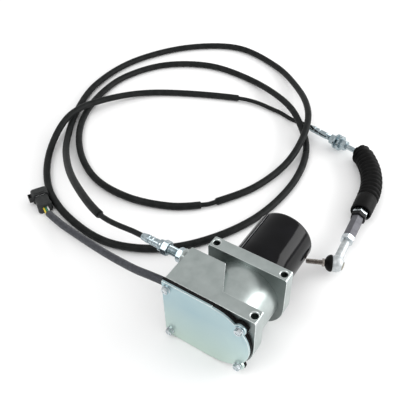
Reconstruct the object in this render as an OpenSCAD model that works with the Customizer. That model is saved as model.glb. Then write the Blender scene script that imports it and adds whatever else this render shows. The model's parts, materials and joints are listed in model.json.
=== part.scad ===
// Engine governor actuator: a geared electric motor that pulls a push-pull control cable.
// X runs along the cover, Y from the cover to the motor, Z up from the surface it stands on.
// The origin is under the middle of the actuator, on that surface.

/* [Housing] */
// Height of the gear housing
body_h = 85; // [80:1:92]
// Distance from the left wall to the motor axis
axis_in = 56; // [55:0.5:60]
// Distance from the motor axis to the right end of the front lug
lug_reach = 43; // [42:0.5:46]
// Depth of the left part of the housing
box_d = 45; // [44:0.5:47]
// Width of the left part at its back
box_back_w = 40; // [39:0.5:42]
// Depth of the front lug
lug_d = 15; // [14:0.5:16]
// Radius of the round neck
neck_r = 37; // [36.5:0.5:38]
// Wall of the gear chamber
wall_t = 4.5; // [4:0.25:4.75]
// Length from the front face to the back of the rear flange
housing_len = 70; // [70:0.5:74]

/* [Rear flange] */
// Half width of the rear flange
flange_half_w = 44; // [43:0.5:46]
// Thickness of the rear flange
flange_t = 13.5; // [12.5:0.5:14]
// Radius of a tapped mounting hole
tap_r = 3.4; // [2.5:0.1:4]
// Depth of a tapped mounting hole
tap_depth = 18; // [10:1:20]
// Distance between the two rear mounting holes
rear_tap_gap = 75.4; // [70:0.2:78]

/* [Cover] */
// Thickness of the cover plate
cover_t = 2.4; // [1.6:0.2:4]
// Thickness of the cover gasket
gasket_t = 3; // [1.5:0.5:4]
// Radius of the round end of the cover
cover_r = 41; // [39:0.5:42]
// Radius of a cover screw's shank
screw_r = 2.5; // [2:0.1:3]
// Height of a cover screw's head
head_h = 3.4; // [2.5:0.1:4]
// Thickness of a cover screw's washer
washer_t = 1.2; // [0.8:0.1:1.6]

/* [Motor] */
// Outer radius of the motor can
can_r = 31.5; // [31:0.5:34]
// Length from the flange to the end of the motor can
motor_len = 70; // [68:1:90]
// Wall of the motor can
can_wall = 2; // [1.5:0.1:2.2]
// Radius of the rounded far edge of the can
can_edge_r = 6; // [3:0.5:8]
// Thickness of the gasket between flange and can
motor_gasket_t = 1.5; // [1:0.25:2]
// Radius of the armature shaft
shaft_r = 4; // [3.5:0.1:4.2]
// Length of the armature's iron core
core_len = 30; // [20:1:32]

/* [Gearing] */
// Tooth module of all gears
gear_module = 0.9; // [0.88:0.01:0.91]
// Face width of the planet gears
planet_w = 12; // [8:0.5:12.5]
// Face width of the sector gear and its pinion
sector_w = 6; // [4:0.5:6]
// Height of the cable wire over the lever axis
wire_rise = 32; // [31:0.25:32.5]

/* [Cable] */
// Radius of the bare cable conduit
conduit_r = 3; // [2.5:0.1:3.5]
// Radius of the sleeve over the cable
sleeve_r = 4.5; // [4:0.1:4.6]
// Radius of the harness sleeve
harness_r = 4.3; // [3.5:0.1:4.6]
// Radius of the pull wire
wire_r = 1.2; // [0.8:0.1:1.4]
// Radius of the bellows boot
boot_r = 13.75; // [12.75:0.25:14]
// Radius of the ball stud's thread
stud_r = 3; // [2.5:0.1:3.5]

/* [Hidden] */
$fn = 64;

// Fits
press_gap = 0.02;
run_gap = 0.05;
screw_gap = 0.1;
side_gap = 0.4;
spigot_gap = 0.2;
eps = 0.01;

// Places of the housing
hub_boss_out = 4.5;
cover_stack = gasket_t + cover_t + washer_t + head_h;
right_x = (hub_boss_out + axis_in + flange_half_w) / 2;
left_x = right_x - axis_in - flange_half_w;
axis_x = left_x + axis_in;
axis_z = body_h / 2;
front_y = cover_stack - (cover_stack + housing_len + motor_len) / 2;
flange_back_y = front_y + housing_len;
motor_end_y = flange_back_y + motor_len;
flange_front_y = flange_back_y - flange_t;
chamber_back_t = 3.5;
motor_wall_t = 15;
chamber_end_y = front_y + box_d - chamber_back_t;
neck_end_y = flange_back_y - motor_wall_t;
chamber_low = wall_t + 3;
chamber_high = body_h - wall_t;
body_corner_r = 4;
top_corner_r = 3;
flange_corner_r = 8;
lug_corner_r = lug_reach - 2;
flange_round_r = flange_half_w - 4;
lug_tap_inset = 5.5;
tap_mouth = 1.5;

// Front screws: two in the left corners and two at 45 degrees round the motor axis
screw_inset = 6;
screw_rise = axis_z - 8.5;
screw_boss_r = 6;
screw_af = 7;
washer_r = 4.6;
head_dish_r = 2.4;
head_dish = 0.5;
ear_reach = 42.2;
ear_r = 6.5;
cover_inset = 0.6;
gasket_proud = 0.5;
gasket_rim = 6.5;
ear_at = ear_reach * cos(45);
cover_screw_at = [
    [left_x + screw_inset, axis_z + screw_rise],
    [left_x + screw_inset, axis_z - screw_rise],
    [axis_x + ear_at, axis_z + ear_at],
    [axis_x + ear_at, axis_z - ear_at]
];
cover_screw_len = 14;

// Gear teeth
sun_teeth = 12;
planet_teeth = 24;
ring_teeth = sun_teeth + 2 * planet_teeth;
pinion_teeth = 15;
sector_teeth = 60;
pressure = 25;
backlash = 0.16;
planet_reach = gear_module * (sun_teeth + planet_teeth) / 2;
ring_r = 31.5;
chamber_r = ring_r + 2.5;
sector_half = 32;
lever_x = axis_x - gear_module * (pinion_teeth + sector_teeth) / 2;
wire_z = axis_z + wire_rise;

// Stations along the gear axis, from the front face
rotor_t = 1.6;
rotor_gap = 0.2;
sector_y = front_y + 5;
rotor_y = sector_y - rotor_gap - rotor_t;
plate_y = sector_y + sector_w + 1;
plate_t = 5;
plate_back_y = plate_y + plate_t;
carrier_bush_len = 10;
terminal_r = 3.2;
terminal_half_l = 3;
fork_y = plate_back_y + 12;
fork_t = 5;
lever_bush_end_y = fork_y - side_gap;
lever_nut_t = 4;
fork_back_y = fork_y + fork_t;
wire_y = fork_back_y + side_gap + terminal_r;
carrier_y = fork_back_y - 1;
carrier_t = 7;
carrier_back_y = carrier_y + carrier_t;
planet_y = carrier_back_y + side_gap;
planet_end_y = planet_y + planet_w;
ring_front_y = planet_y;
ring_w = planet_w + 1;

plate_screw_r = 2;
plate_head_r = 3.4;
plate_head_h = 2.4;
plate_thread_l = 8;
plate_screw_reach = 46;
plate_screw_x = left_x + plate_screw_reach;
plate_screw_inset = 5;
low_screw_reach = 12;
low_screw_inset = 3.6;
plate_screw_at = [
    [plate_screw_x, wall_t + plate_screw_inset],
    [plate_screw_x, body_h - wall_t - plate_screw_inset],
    [left_x + wall_t + low_screw_reach, wall_t + low_screw_inset]
];

// Radii of the turning parts
lever_shaft_r = 5;
lever_hub_r = 9;
lever_nut_af = 13;
rotor_bore_r = 3.5;
rotor_r = 10;
sensor_r = 14;
sensor_ear_reach = 15;
sensor_ear_r = 4;
sensor_ear_t = 2.5;
bush_wall = 3;
boss_wall = 3;
carrier_shaft_r = 6;
carrier_nose_r = 4;
carrier_r = 22;
planet_pin_r = 2.95;
sun_shaft_r = 2.8;
fork_tip_r = 35.5;
fork_half_w = 5;
fork_pin_r = 2.4;
fork_slot_w = 2 * fork_pin_r + 0.8;
fork_slot_low = wire_rise - fork_pin_r - 1.4;
fork_waist = 14;
lever_swing = 20.2;
chamber_gap = 1;
fork_sweep = fork_tip_r * sin(lever_swing) + fork_half_w * cos(lever_swing) + chamber_gap;
wire_sweep = wire_rise * tan(lever_swing) + terminal_half_l + chamber_gap;

// Motor stations, from the back of the flange
can_in_r = can_r - can_wall;
spigot_l = 3;
brush_card_y = flange_back_y + spigot_l;
brush_card_t = 3;
front_bush_r = shaft_r + bush_wall + 1;
front_bush_y = neck_end_y + 3;
commutator_r = 9;
commutator_y = brush_card_y + 2;
commutator_l = 10;
coil_l = 6;
coil_mid_r = 16;
coil_depth = 12;
coil_chamfer = 2.4;
holder_l = 12;
holder_w = 11;
brush_l = 11;
brush_t = 5;
brush_h = 6;
brush_gap = 0.2;
brush_clear = 0.3;
brush_y = brush_card_y + 4.2;
core_y = commutator_y + commutator_l + 2 + coil_l;
core_r = 24.4;
magnet_r = core_r + 0.6;
magnet_half_arc = 65;
magnet_over = 3;
rear_bush_l = 7.5;
rear_bush_r = shaft_r + bush_wall;
can_end_in_y = motor_end_y - can_wall;
can_front_y = flange_back_y + motor_gasket_t;

// Cable fitting in the left wall, then the cable's route over the floor
hub_r = 5;
hub_boss_r = 8.5;
hub_reach = 22;
hub_end_x = left_x - hub_reach;
hub_nut_w = 7;
hub_nut_af = 14;
wall_nut_w = 6;
ferrule_reach = 56;
ferrule_end_x = left_x - ferrule_reach;
ferrule_r = 4.6;
ferrule_lip = 0.7;
ferrule_taper = 8;
ferrule_collar_r = 6.2;
ferrule_collar_x = hub_end_x - hub_nut_w - 1;
wire_gap = 0.5;
wire_reach = 36;
wire_end_x = left_x - wire_reach;
cable_lead = 10;
cable_route = [
    [-164, -25, 71], [-237, 12, 52], [-300, 58, 27],
    [-350, 108, 10], [-392, 174, 5], [-415, 246, 5], [-408, 332, 5], [-360, 415, 5],
    [-284, 463, 5], [-200, 446, 5], [-134, 398, 10], [-88, 338, 21], [-67, 284, 20],
    [-64, 228, 9], [-78, 168, 5], [-106, 117, 5],
    [-119, 102, 5], [-152, 79, 5], [-205, 64, 5], [-264, 69, 5], [-320, 101, 5],
    [-364, 152, 5], [-388, 214, 5], [-390, 284, 5], [-356, 350, 5], [-290, 388, 5],
    [-210, 386, 5], [-132, 350, 13], [-86, 310, 14],
    [-53, 264, 6], [-40, 190, 5], [-54, 106, 5], [-101, 31, 5], [-168, -8, 5],
    [-240, -5, 5], [-306, 24, 5], [-356, 80, 8], [-379, 148, 17], [-366, 212, 12],
    [-316, 278, 5], [-201, 331, 5], [-140, 334, 4], [-106, 326, 4]
];
sleeve_1_from = 2;
sleeve_1_to = 17;
sleeve_2_from = 18;
sleeve_2_to = 31;
sleeve_3_to = 42;
curve_steps = 2;

// Engine end of the cable: a bulkhead fitting, a bent boot and the rod with its ball stud
engine_at = [-73.5, 315, 10.5];
engine_turn = -14.5;
engine_lift = 2.4;
engine_axis = [cos(engine_lift) * cos(engine_turn), cos(engine_lift) * sin(engine_turn), sin(engine_lift)];
engine_ferrule_l = 40.5;
engine_thread_r = 4;
engine_tube_r = 3.4;
engine_nut_t = 8.5;
engine_nut_af = 13;
engine_ferrule_taper = 7;
engine_washer_t = 2.5;
engine_washer_r = 10.5;
bracket_gap = 4;
nut_1_s = engine_ferrule_l;
washer_s = nut_1_s + engine_nut_t;
nut_2_s = washer_s + 2 * engine_washer_t + bracket_gap;
tube_reach = 18.5;
tube_end_s = nut_2_s + engine_nut_t + tube_reach;
boot_kink_r = 28;
boot_kink = 30.5;
boot_bend_r = 115;
boot_bend = 40;
bend_turn = engine_turn - boot_kink;
rod_turn = bend_turn - boot_bend;
bend_from = engine_at + tube_end_s * engine_axis;
kink_mid = bend_from + boot_kink_r * [sin(engine_turn), -cos(engine_turn), 0];
kink_to = kink_mid + boot_kink_r * [-sin(bend_turn), cos(bend_turn), 0];
bend_mid = kink_to + boot_bend_r * [sin(bend_turn), -cos(bend_turn), 0];
rod_at = bend_mid + boot_bend_r * [-sin(rod_turn), cos(rod_turn), 0];
boot_fold_end_s = 1;
boot_nut_s = 25.8;
boot_over = 3;
boot_end_s = boot_nut_s + boot_over;
boot_nut_t = 8.5;
black_nut_t = 6;
boot_nut_af = 17;
link_l = 34.5;
link_af = 13;
locknut_af = 14;
locknut_t = 7;
black_nut_s = boot_nut_s + boot_nut_t;
link_s = black_nut_s + black_nut_t;
locknut_s = link_s + link_l;
shank_s = locknut_s + locknut_t;
shank_l = 37.5;
ball_s = shank_s + shank_l;
rod_thread_r = 3.4;
ball_r = 6;
head_r = 9.5;
shank_r = 5;
shank_neck_r = 4.2;
shank_taper = 8;
stud_tilt = 20;
stud_neck_r = 2.6;
stud_collar_s = 12.4;
stud_collar_t = 2.6;
stud_collar_r = stud_r + 1.6;
stud_end_s = 33;
stud_chamfer = 0.6;
ball_at = rod_at + ball_s * [cos(rod_turn), sin(rod_turn), 0];
stud_turn = rod_turn - 90 + stud_tilt;

// Wiring harness and its connector
harness_exit = [left_x, front_y + 12, 57];
grommet_out = 4;
grommet_wall = 1.7;
grommet_lip = 3.4;
harness_lead = 10;
harness_route = [
    [-78, -52.5, 54], [-104, -49, 45], [-151, -39.5, 30], [-200, -28, 16], [-242, -20, 9.5], [-268, -14.5, 9]
];
harness_path = concat(
    [[left_x - grommet_out, harness_exit[1], harness_exit[2]],
     [left_x - grommet_out - harness_lead, harness_exit[1], harness_exit[2]]],
    harness_route
);
connector_turn = 150;
connector_at = [-278.5, -8.8, 8.8];
connector_l = 19;
connector_w = 17;
connector_h = 14.5;
connector_drop = 8.8;
connector_corner_r = 3.5;
lead_gap = 1.2;
lead_r = 1;
lead_pitch = 2.4;
seat_gap = 0.2;
lock_l = 12.5;
lock_w = connector_w + 3.5;
lock_h = connector_h + 2;
lock_wall = 2.6;
lock_corner_r = 4;
latch_l = 9.5;
latch_w = 4.5;
latch_h = 7;
latch_hole_l = 4.5;
latch_hole_w = 2;

// Shapes that repeat
module along_y(y0, y1) {
    translate([0, y1, 0]) rotate([90, 0, 0]) linear_extrude(y1 - y0) children();
}

module rod_y(r, y0, y1) {
    translate([0, y0, 0]) rotate([-90, 0, 0]) cylinder(r = r, h = y1 - y0);
}

module rod_x(r, x0, x1) {
    translate([x0, 0, 0]) rotate([0, 90, 0]) cylinder(r = r, h = x1 - x0);
}

module ring_y(r_out, r_in, y0, y1) {
    difference() {
        rod_y(r_out, y0, y1);
        rod_y(r_in, y0 - 1, y1 + 1);
    }
}

module at_motor() {
    translate([axis_x, 0, axis_z]) children();
}

module at_lever() {
    translate([lever_x, 0, axis_z]) children();
}

module at_engine() {
    translate(engine_at) rotate([0, -engine_lift, engine_turn]) children();
}

module at_rod() {
    translate(rod_at) rotate([0, 0, rod_turn]) children();
}

module hex_x(across_flats, x0, x1, bore_r = 0) {
    difference() {
        intersection() {
            translate([x0, 0, 0]) rotate([0, 90, 0])
                cylinder(r = across_flats / 2 / cos(30), h = x1 - x0, $fn = 6);
            hex_chamfer(across_flats, x0, x1);
        }
        if (bore_r > 0) rod_x(bore_r, x0 - 1, x1 + 1);
    }
}

module hex_chamfer(across_flats, x0, x1) {
    r = across_flats / 2 / cos(30);
    drop = r - across_flats / 2;
    rotate([0, 90, 0]) rotate_extrude() polygon([
        [0, x0], [across_flats / 2, x0], [r, x0 + drop * 0.6], [r, x1 - drop * 0.6],
        [across_flats / 2, x1], [0, x1]
    ]);
}

// One square corner of a plate, less the quarter circle that rounds it
module corner_cut(r) {
    difference() {
        translate([-1, -1]) square(r + 1);
        translate([r, r]) circle(r);
    }
}

module rounded_plate(x0, x1, z0, z1, r_low_left, r_low_right, r_top) {
    difference() {
        translate([x0, z0]) square([x1 - x0, z1 - z0]);
        translate([x0, z0]) corner_cut(r_low_left);
        translate([x1, z0]) mirror([1, 0]) corner_cut(r_low_right);
        translate([x0, z1]) mirror([0, 1]) corner_cut(r_top);
        translate([x1, z1]) mirror([1, 0]) mirror([0, 1]) corner_cut(r_top);
    }
}

// Involute gear outline, one tooth centred on the X axis
function involute(a) = tan(a) * 180 / PI - a;
function flank(r, base_r, half) =
    half + involute(pressure) - (r > base_r ? involute(acos(base_r / r)) : 0);
function tooth(radii, turn, half, base_r) = concat(
    [for (r = radii) let (a = turn - flank(r, base_r, half)) r * [cos(a), sin(a)]],
    [for (i = [len(radii) - 1 : -1 : 0])
        let (r = radii[i], a = turn + flank(r, base_r, half)) r * [cos(a), sin(a)]]
);
function gear_outline(teeth, tip, root, thin) =
    let (
        pitch_r = gear_module * teeth / 2,
        base_r = pitch_r * cos(pressure),
        half = 90 / teeth - thin / pitch_r * 90 / PI,
        root_r = pitch_r - root * gear_module,
        tip_r = pitch_r + tip * gear_module,
        low_r = max(root_r, base_r),
        steps = concat(root_r < base_r ? [root_r] : [],
            [for (i = [0 : 4]) low_r + (tip_r - low_r) * i / 4])
    )
    [for (t = [0 : teeth - 1]) each tooth(steps, 360 / teeth * t, half, base_r)];

module gear(teeth, turn, y0, y1, bore_r) {
    difference() {
        along_y(y0, y1) rotate(turn) polygon(gear_outline(teeth, 0.9, 1.2, backlash));
        rod_y(bore_r, y0 - 1, y1 + 1);
    }
}

// Smooth curve through a route's points, straight in its first and last stretch
function curve_point(p, i, u) =
    i == 0 || i == len(p) - 2 ? (1 - u) * p[i] + u * p[i + 1] : spline(p[i - 1], p[i], p[i + 1], p[i + 2], u);
function spline(a, b, c, d, u) =
    0.5 * (2 * b + (c - a) * u + (2 * a - 5 * b + 4 * c - d) * u * u + (3 * b - a - 3 * c + d) * u * u * u);
function curve(p, steps) = concat(
    [for (i = [0 : len(p) - 2], k = [0 : steps - 1]) curve_point(p, i, k / steps)],
    [p[len(p) - 1]]
);

// Closed tube with one radius for each point of its path
function unit(v) = v / norm(v);
function heading(path, i) = unit(path[min(i + 1, len(path) - 1)] - path[max(i - 1, 0)]);
function ring_points(path, i, r, sides) =
    let (t = heading(path, i), side = unit(cross(t, [0, 0, 1])), up = cross(side, t))
    [for (k = [0 : sides - 1]) let (a = 360 / sides * k) path[i] + r * (cos(a) * side + sin(a) * up)];

module tube_mesh(rings) {
    sides = len(rings[0]);
    last = len(rings) - 1;
    walls = [for (i = [0 : last - 1], k = [0 : sides - 1])
        [i * sides + k, i * sides + (k + 1) % sides,
         (i + 1) * sides + (k + 1) % sides, (i + 1) * sides + k]];
    start = [for (k = [sides - 1 : -1 : 0]) k];
    end = [for (k = [0 : sides - 1]) last * sides + k];
    polyhedron([for (r = rings) each r], concat([start, end], walls), convexity = 8);
}

module swept(path, radii, sides) {
    tube_mesh([for (i = [0 : len(path) - 1]) ring_points(path, i, radii[i], sides)]);
}

// Stretch of a curve between two of its route's points
module cord(path, from, to, r) {
    tube_mesh([for (i = [from * curve_steps : to * curve_steps]) ring_points(path, i, r, 10)]);
}

// Gear housing: one casting with a box, a round neck and a flange, open at the front
module front_outline() {
    rounded_plate(left_x, axis_x + lug_reach, 0, body_h, body_corner_r, lug_corner_r, top_corner_r);
}

module flange_outline() {
    rounded_plate(axis_x - flange_half_w, right_x, 0, body_h, flange_corner_r, flange_round_r, top_corner_r);
}

module box_plan() {
    polygon([
        [left_x, front_y], [axis_x + lug_reach, front_y], [axis_x + lug_reach, front_y + lug_d],
        [axis_x, front_y + lug_d], [left_x + box_back_w, front_y + box_d], [left_x, front_y + box_d]
    ]);
}

module chamber_outline(inset) {
    low = wall_t + inset;
    difference() {
        union() {
            translate([left_x + low, low]) square([axis_in - low, body_h - 2 * low]);
            translate([axis_x, axis_z]) circle(chamber_r - inset);
        }
        for (s = cover_screw_at) translate(s) circle(screw_boss_r + inset);
    }
}

module housing_outside() {
    intersection() {
        along_y(front_y, front_y + box_d) front_outline();
        linear_extrude(body_h) box_plan();
    }
    at_motor() rod_y(neck_r, front_y + lug_d - 1, flange_front_y + 1);
    along_y(flange_front_y, flange_back_y) flange_outline();
    at_motor() rod_y(can_in_r - spigot_gap, flange_back_y - 1, brush_card_y);
    translate([0, wire_y, wire_z]) rod_x(hub_boss_r, left_x - hub_boss_out, left_x + wall_t);
}

module lever_space(sweep, y1) {
    translate([left_x + wall_t, front_y, chamber_low])
        cube([lever_x + sweep - left_x - wall_t, y1 - front_y, chamber_high - chamber_low]);
}

module housing_inside() {
    along_y(front_y - 1, plate_back_y) chamber_outline(0);
    lever_space(fork_sweep, fork_back_y + chamber_gap);
    lever_space(wire_sweep, chamber_end_y);
    at_motor() rod_y(ring_r, front_y, neck_end_y);
    at_motor() rod_y(front_bush_r, front_bush_y - 1, brush_card_y + 1);
    at_motor() rod_y(shaft_r + wire_gap, neck_end_y - 1, front_bush_y);
    translate([0, wire_y, wire_z]) rod_x(hub_r, left_x - hub_boss_out - 1, left_x + wall_t + 1);
    translate([0, harness_exit[1], harness_exit[2]])
        rod_x(harness_r + grommet_wall, left_x - 1, left_x + wall_t + 1);
}

module mounting_taps() {
    top_taps = [
        [axis_x - rear_tap_gap / 2, flange_back_y - flange_t / 2],
        [axis_x + rear_tap_gap / 2, flange_back_y - flange_t / 2],
        [axis_x + lug_reach - lug_tap_inset, front_y + lug_d / 2]
    ];
    for (t = top_taps) {
        translate([t[0], t[1], body_h - tap_depth]) cylinder(r = tap_r, h = tap_depth + 1);
        translate([t[0], t[1], body_h - 1]) cylinder(r1 = tap_r, r2 = tap_r + tap_mouth, h = tap_mouth);
    }
}

module gear_housing() {
    color([0.61, 0.65, 0.64]) difference() {
        housing_outside();
        housing_inside();
        mounting_taps();
        for (s = cover_screw_at)
            translate([s[0], 0, s[1]]) rod_y(screw_r + press_gap, front_y - 1, front_y + cover_screw_len);
        plate_screw_holes(press_gap, plate_back_y + plate_thread_l);
    }
}

// Cover, its gasket and fasteners
module cover_outline(grow) {
    translate([left_x - grow, cover_inset - grow])
        square([axis_in + grow, body_h - 2 * cover_inset + 2 * grow]);
    translate([axis_x, axis_z]) circle(cover_r + grow);
    for (i = [2, 3]) translate(cover_screw_at[i]) circle(ear_r + grow);
}

module cover_holes(y0, y1) {
    for (s = cover_screw_at) translate([s[0], 0, s[1]]) rod_y(screw_r + screw_gap, y0 - 1, y1 + 1);
}

module cover_plate() {
    back = front_y - gasket_t;
    color([0.69, 0.78, 0.8]) difference() {
        along_y(back - cover_t, back) cover_outline(0);
        cover_holes(back - cover_t, back);
    }
}

module gasket_window() {
    difference() {
        union() {
            translate([left_x + gasket_rim, gasket_rim + 1])
                square([axis_in - gasket_rim, body_h - 2 * gasket_rim - 2]);
            translate([axis_x, axis_z]) circle(chamber_r);
        }
        for (s = cover_screw_at) translate(s) circle(screw_boss_r);
    }
}

module cover_gasket() {
    color([0.09, 0.09, 0.1]) difference() {
        along_y(front_y - gasket_t, front_y) cover_outline(gasket_proud);
        along_y(front_y - gasket_t - 1, front_y + 1) gasket_window();
        cover_holes(front_y - gasket_t, front_y);
    }
}

module cover_screws() {
    seat = front_y - gasket_t - cover_t - washer_t;
    top = seat - head_h;
    color([0.8, 0.83, 0.84]) for (s = cover_screw_at) translate([s[0], 0, s[1]]) difference() {
        union() {
            rotate([0, 0, 90]) hex_x(screw_af, top, seat);
            rod_y(screw_r, seat - 1, front_y + cover_screw_len - 1);
        }
        rod_y(head_dish_r, top - 1, top + head_dish);
    }
}

module cover_washers() {
    back = front_y - gasket_t - cover_t;
    color([0.75, 0.79, 0.81]) for (s = cover_screw_at)
        translate([s[0], 0, s[1]]) ring_y(washer_r, screw_r + screw_gap, back - washer_t, back);
}

// Motor: can, gasket, magnets and brush gear
module motor_can() {
    steps = 8;
    out = concat(
        [[can_r, can_front_y]],
        [for (i = [0 : steps]) let (a = 90 * i / steps)
            [can_r - can_edge_r + can_edge_r * cos(a), motor_end_y - can_edge_r + can_edge_r * sin(a)]],
        [[0, motor_end_y], [0, can_end_in_y], [can_in_r - can_edge_r + can_wall, can_end_in_y],
         [can_in_r, motor_end_y - can_edge_r], [can_in_r, can_front_y]]
    );
    color([0.05, 0.05, 0.055]) at_motor() {
        rotate([-90, 0, 0]) rotate_extrude($fn = 96) polygon(out);
        ring_y(rear_bush_r + boss_wall, rear_bush_r, can_end_in_y - rear_bush_l, can_end_in_y + eps);
    }
}

module motor_gasket() {
    color([0.08, 0.08, 0.08]) at_motor() ring_y(can_r + gasket_proud, can_in_r, flange_back_y, can_front_y);
}

module field_magnets() {
    color([0.2, 0.2, 0.21]) at_motor() for (side = [0, 180])
        along_y(core_y - magnet_over, core_y + core_len + magnet_over) rotate(side) difference() {
            circle(can_in_r - press_gap);
            circle(magnet_r);
            for (m = [0, 1]) mirror([0, m]) rotate(magnet_half_arc)
                translate([-2 * can_r, 0]) square([4 * can_r, 2 * can_r]);
        }
}

module brush_card() {
    color([0.32, 0.25, 0.16]) at_motor() difference() {
        union() {
            rod_y(can_in_r - 1, brush_card_y, brush_card_y + brush_card_t);
            for (side = [0, 180]) rotate([0, side, 0])
                translate([commutator_r + 2, brush_card_y, -holder_w / 2])
                    cube([holder_l, holder_w, holder_w]);
        }
        rod_y(commutator_r + 1.5, brush_card_y - 1, brush_card_y + brush_card_t + 1);
        for (side = [0, 180]) rotate([0, side, 0])
            translate([commutator_r + 1, brush_y - brush_gap, -brush_h / 2 - brush_gap])
                cube([2 * brush_l, brush_t + 2 * brush_gap, brush_h + 2 * brush_gap]);
    }
}

module carbon_brushes() {
    color([0.12, 0.12, 0.13]) at_motor() for (side = [0, 180]) rotate([0, side, 0])
        translate([commutator_r + brush_clear, brush_y, -brush_h / 2]) cube([brush_l, brush_t, brush_h]);
}

module front_motor_bush() {
    color([0.72, 0.56, 0.32]) at_motor()
        ring_y(front_bush_r - press_gap, shaft_r + run_gap, front_bush_y, brush_card_y);
}

module rear_motor_bush() {
    color([0.72, 0.56, 0.32]) at_motor()
        ring_y(rear_bush_r - press_gap, shaft_r + run_gap, can_end_in_y - rear_bush_l, can_end_in_y);
}

module armature_shaft() {
    color([0.7, 0.71, 0.73]) at_motor() {
        rod_y(sun_shaft_r, planet_y, neck_end_y);
        rod_y(shaft_r, neck_end_y - eps, can_end_in_y - 0.5);
    }
}

module armature_core() {
    slots = 12;
    color([0.42, 0.43, 0.45]) at_motor() difference() {
        along_y(core_y, core_y + core_len) difference() {
            circle(core_r);
            for (i = [0 : slots - 1]) rotate(360 / slots * i) {
                translate([core_r - 4, -1]) square([6, 2]);
                translate([core_r - 6.5, 0]) circle(3.2);
            }
        }
        rod_y(shaft_r + press_gap, core_y - 1, core_y + core_len + 1);
    }
}

module armature_windings() {
    color([0.62, 0.3, 0.14]) at_motor() for (y = [core_y - coil_l, core_y + core_len])
        translate([0, y, 0]) rotate([-90, 0, 0]) rotate_extrude() difference() {
            translate([coil_mid_r, coil_l / 2]) square([coil_depth, coil_l], center = true);
            for (s = [-1, 1]) translate([coil_mid_r + s * coil_depth / 2, y < core_y ? 0 : coil_l])
                rotate(45) square(coil_chamfer, center = true);
        }
}

module commutator() {
    bars = 12;
    color([0.74, 0.44, 0.22]) at_motor() difference() {
        rod_y(commutator_r, commutator_y, commutator_y + commutator_l);
        rod_y(shaft_r + press_gap, commutator_y - 1, commutator_y + commutator_l + 1);
        for (i = [0 : bars - 1]) rotate([0, 360 / bars * i, 0])
            translate([commutator_r - 1.2, commutator_y - 1, -0.25]) cube([3, commutator_l + 2, 0.5]);
    }
}

// Planetary gears on the motor axis
module sun_gear() {
    color([0.6, 0.61, 0.63]) at_motor()
        gear(sun_teeth, 0, planet_y, planet_end_y, sun_shaft_r + press_gap);
}

module planet(index) {
    turn = 120 * (index - 1);
    color([0.66, 0.67, 0.69]) at_motor()
        translate(planet_reach * [cos(turn), 0, sin(turn)])
            gear(planet_teeth, turn + 180 / planet_teeth, planet_y, planet_end_y, planet_pin_r + run_gap);
}

module planet_gear_1() {
    planet(1);
}

module planet_gear_2() {
    planet(2);
}

module planet_gear_3() {
    planet(3);
}

module ring_gear() {
    color([0.5, 0.51, 0.53]) at_motor() difference() {
        rod_y(ring_r - press_gap, ring_front_y, ring_front_y + ring_w);
        along_y(ring_front_y - 1, ring_front_y + ring_w + 1) rotate(180 / ring_teeth)
            polygon(gear_outline(ring_teeth, 1.2, 0.9, -backlash));
    }
}

module planet_carrier() {
    color([0.55, 0.56, 0.58]) at_motor() difference() {
        union() {
            rod_y(carrier_r, carrier_y, carrier_back_y);
            rod_y(carrier_shaft_r + 2, plate_y + carrier_bush_len + side_gap, carrier_y + eps);
            rod_y(carrier_shaft_r, plate_y - 0.6, carrier_y);
            rod_y(carrier_nose_r, sector_y - 0.4, carrier_y);
        }
        for (i = [0 : 2]) translate(planet_reach * [cos(120 * i), 0, sin(120 * i)])
            rod_y(planet_pin_r + press_gap, carrier_y - 1, carrier_back_y + 1);
    }
}

module planet_pins() {
    color([0.75, 0.76, 0.78]) at_motor() for (i = [0 : 2])
        translate(planet_reach * [cos(120 * i), 0, sin(120 * i)])
            rod_y(planet_pin_r, carrier_y, planet_end_y + side_gap);
}

module carrier_pinion() {
    color([0.6, 0.61, 0.63]) at_motor()
        gear(pinion_teeth, 180, sector_y, sector_y + sector_w, carrier_nose_r + press_gap);
}

// Bearing plate across the chamber, with its bushes
module plate_screw_holes(gap, y1) {
    for (s = plate_screw_at) translate([s[0], 0, s[1]]) rod_y(plate_screw_r + gap, plate_y - 1, y1 + 1);
}

module bearing_plate() {
    color([0.58, 0.6, 0.62]) difference() {
        union() {
            along_y(plate_y, plate_back_y) chamber_outline(side_gap);
            at_motor() rod_y(carrier_shaft_r + bush_wall + boss_wall, plate_y, plate_y + carrier_bush_len);
            at_lever() rod_y(lever_shaft_r + bush_wall + boss_wall, plate_y, lever_bush_end_y);
        }
        at_motor() rod_y(carrier_shaft_r + bush_wall, plate_y - 1, plate_y + carrier_bush_len + 1);
        at_lever() rod_y(lever_shaft_r + bush_wall, plate_y - 1, lever_bush_end_y + 1);
        plate_screw_holes(screw_gap, plate_back_y);
    }
}

module plate_screws() {
    color([0.8, 0.82, 0.84]) for (s = plate_screw_at) translate([s[0], 0, s[1]]) {
        rod_y(plate_head_r, plate_y - plate_head_h, plate_y);
        rod_y(plate_screw_r, plate_y - 1, plate_back_y + plate_thread_l);
    }
}

module carrier_bush() {
    color([0.72, 0.56, 0.32]) at_motor() ring_y(carrier_shaft_r + bush_wall - press_gap,
        carrier_shaft_r + run_gap, plate_y, plate_y + carrier_bush_len);
}

module lever_bush() {
    color([0.72, 0.56, 0.32]) at_lever() ring_y(lever_shaft_r + bush_wall - press_gap,
        lever_shaft_r + run_gap, plate_y, lever_bush_end_y);
}

// Output lever: a shaft with the toothed sector, the fork that pulls the wire and the sensor's rotor
module lever_shaft() {
    color([0.68, 0.69, 0.71]) at_lever() {
        rod_y(rotor_bore_r, rotor_y, sector_y + eps);
        rod_y(lever_shaft_r, sector_y, fork_back_y + lever_nut_t + 1);
    }
}

module lever_nut() {
    color([0.72, 0.75, 0.77]) at_lever() rotate([0, 0, 90])
        hex_x(lever_nut_af, fork_back_y, fork_back_y + lever_nut_t, lever_shaft_r + press_gap);
}

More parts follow.
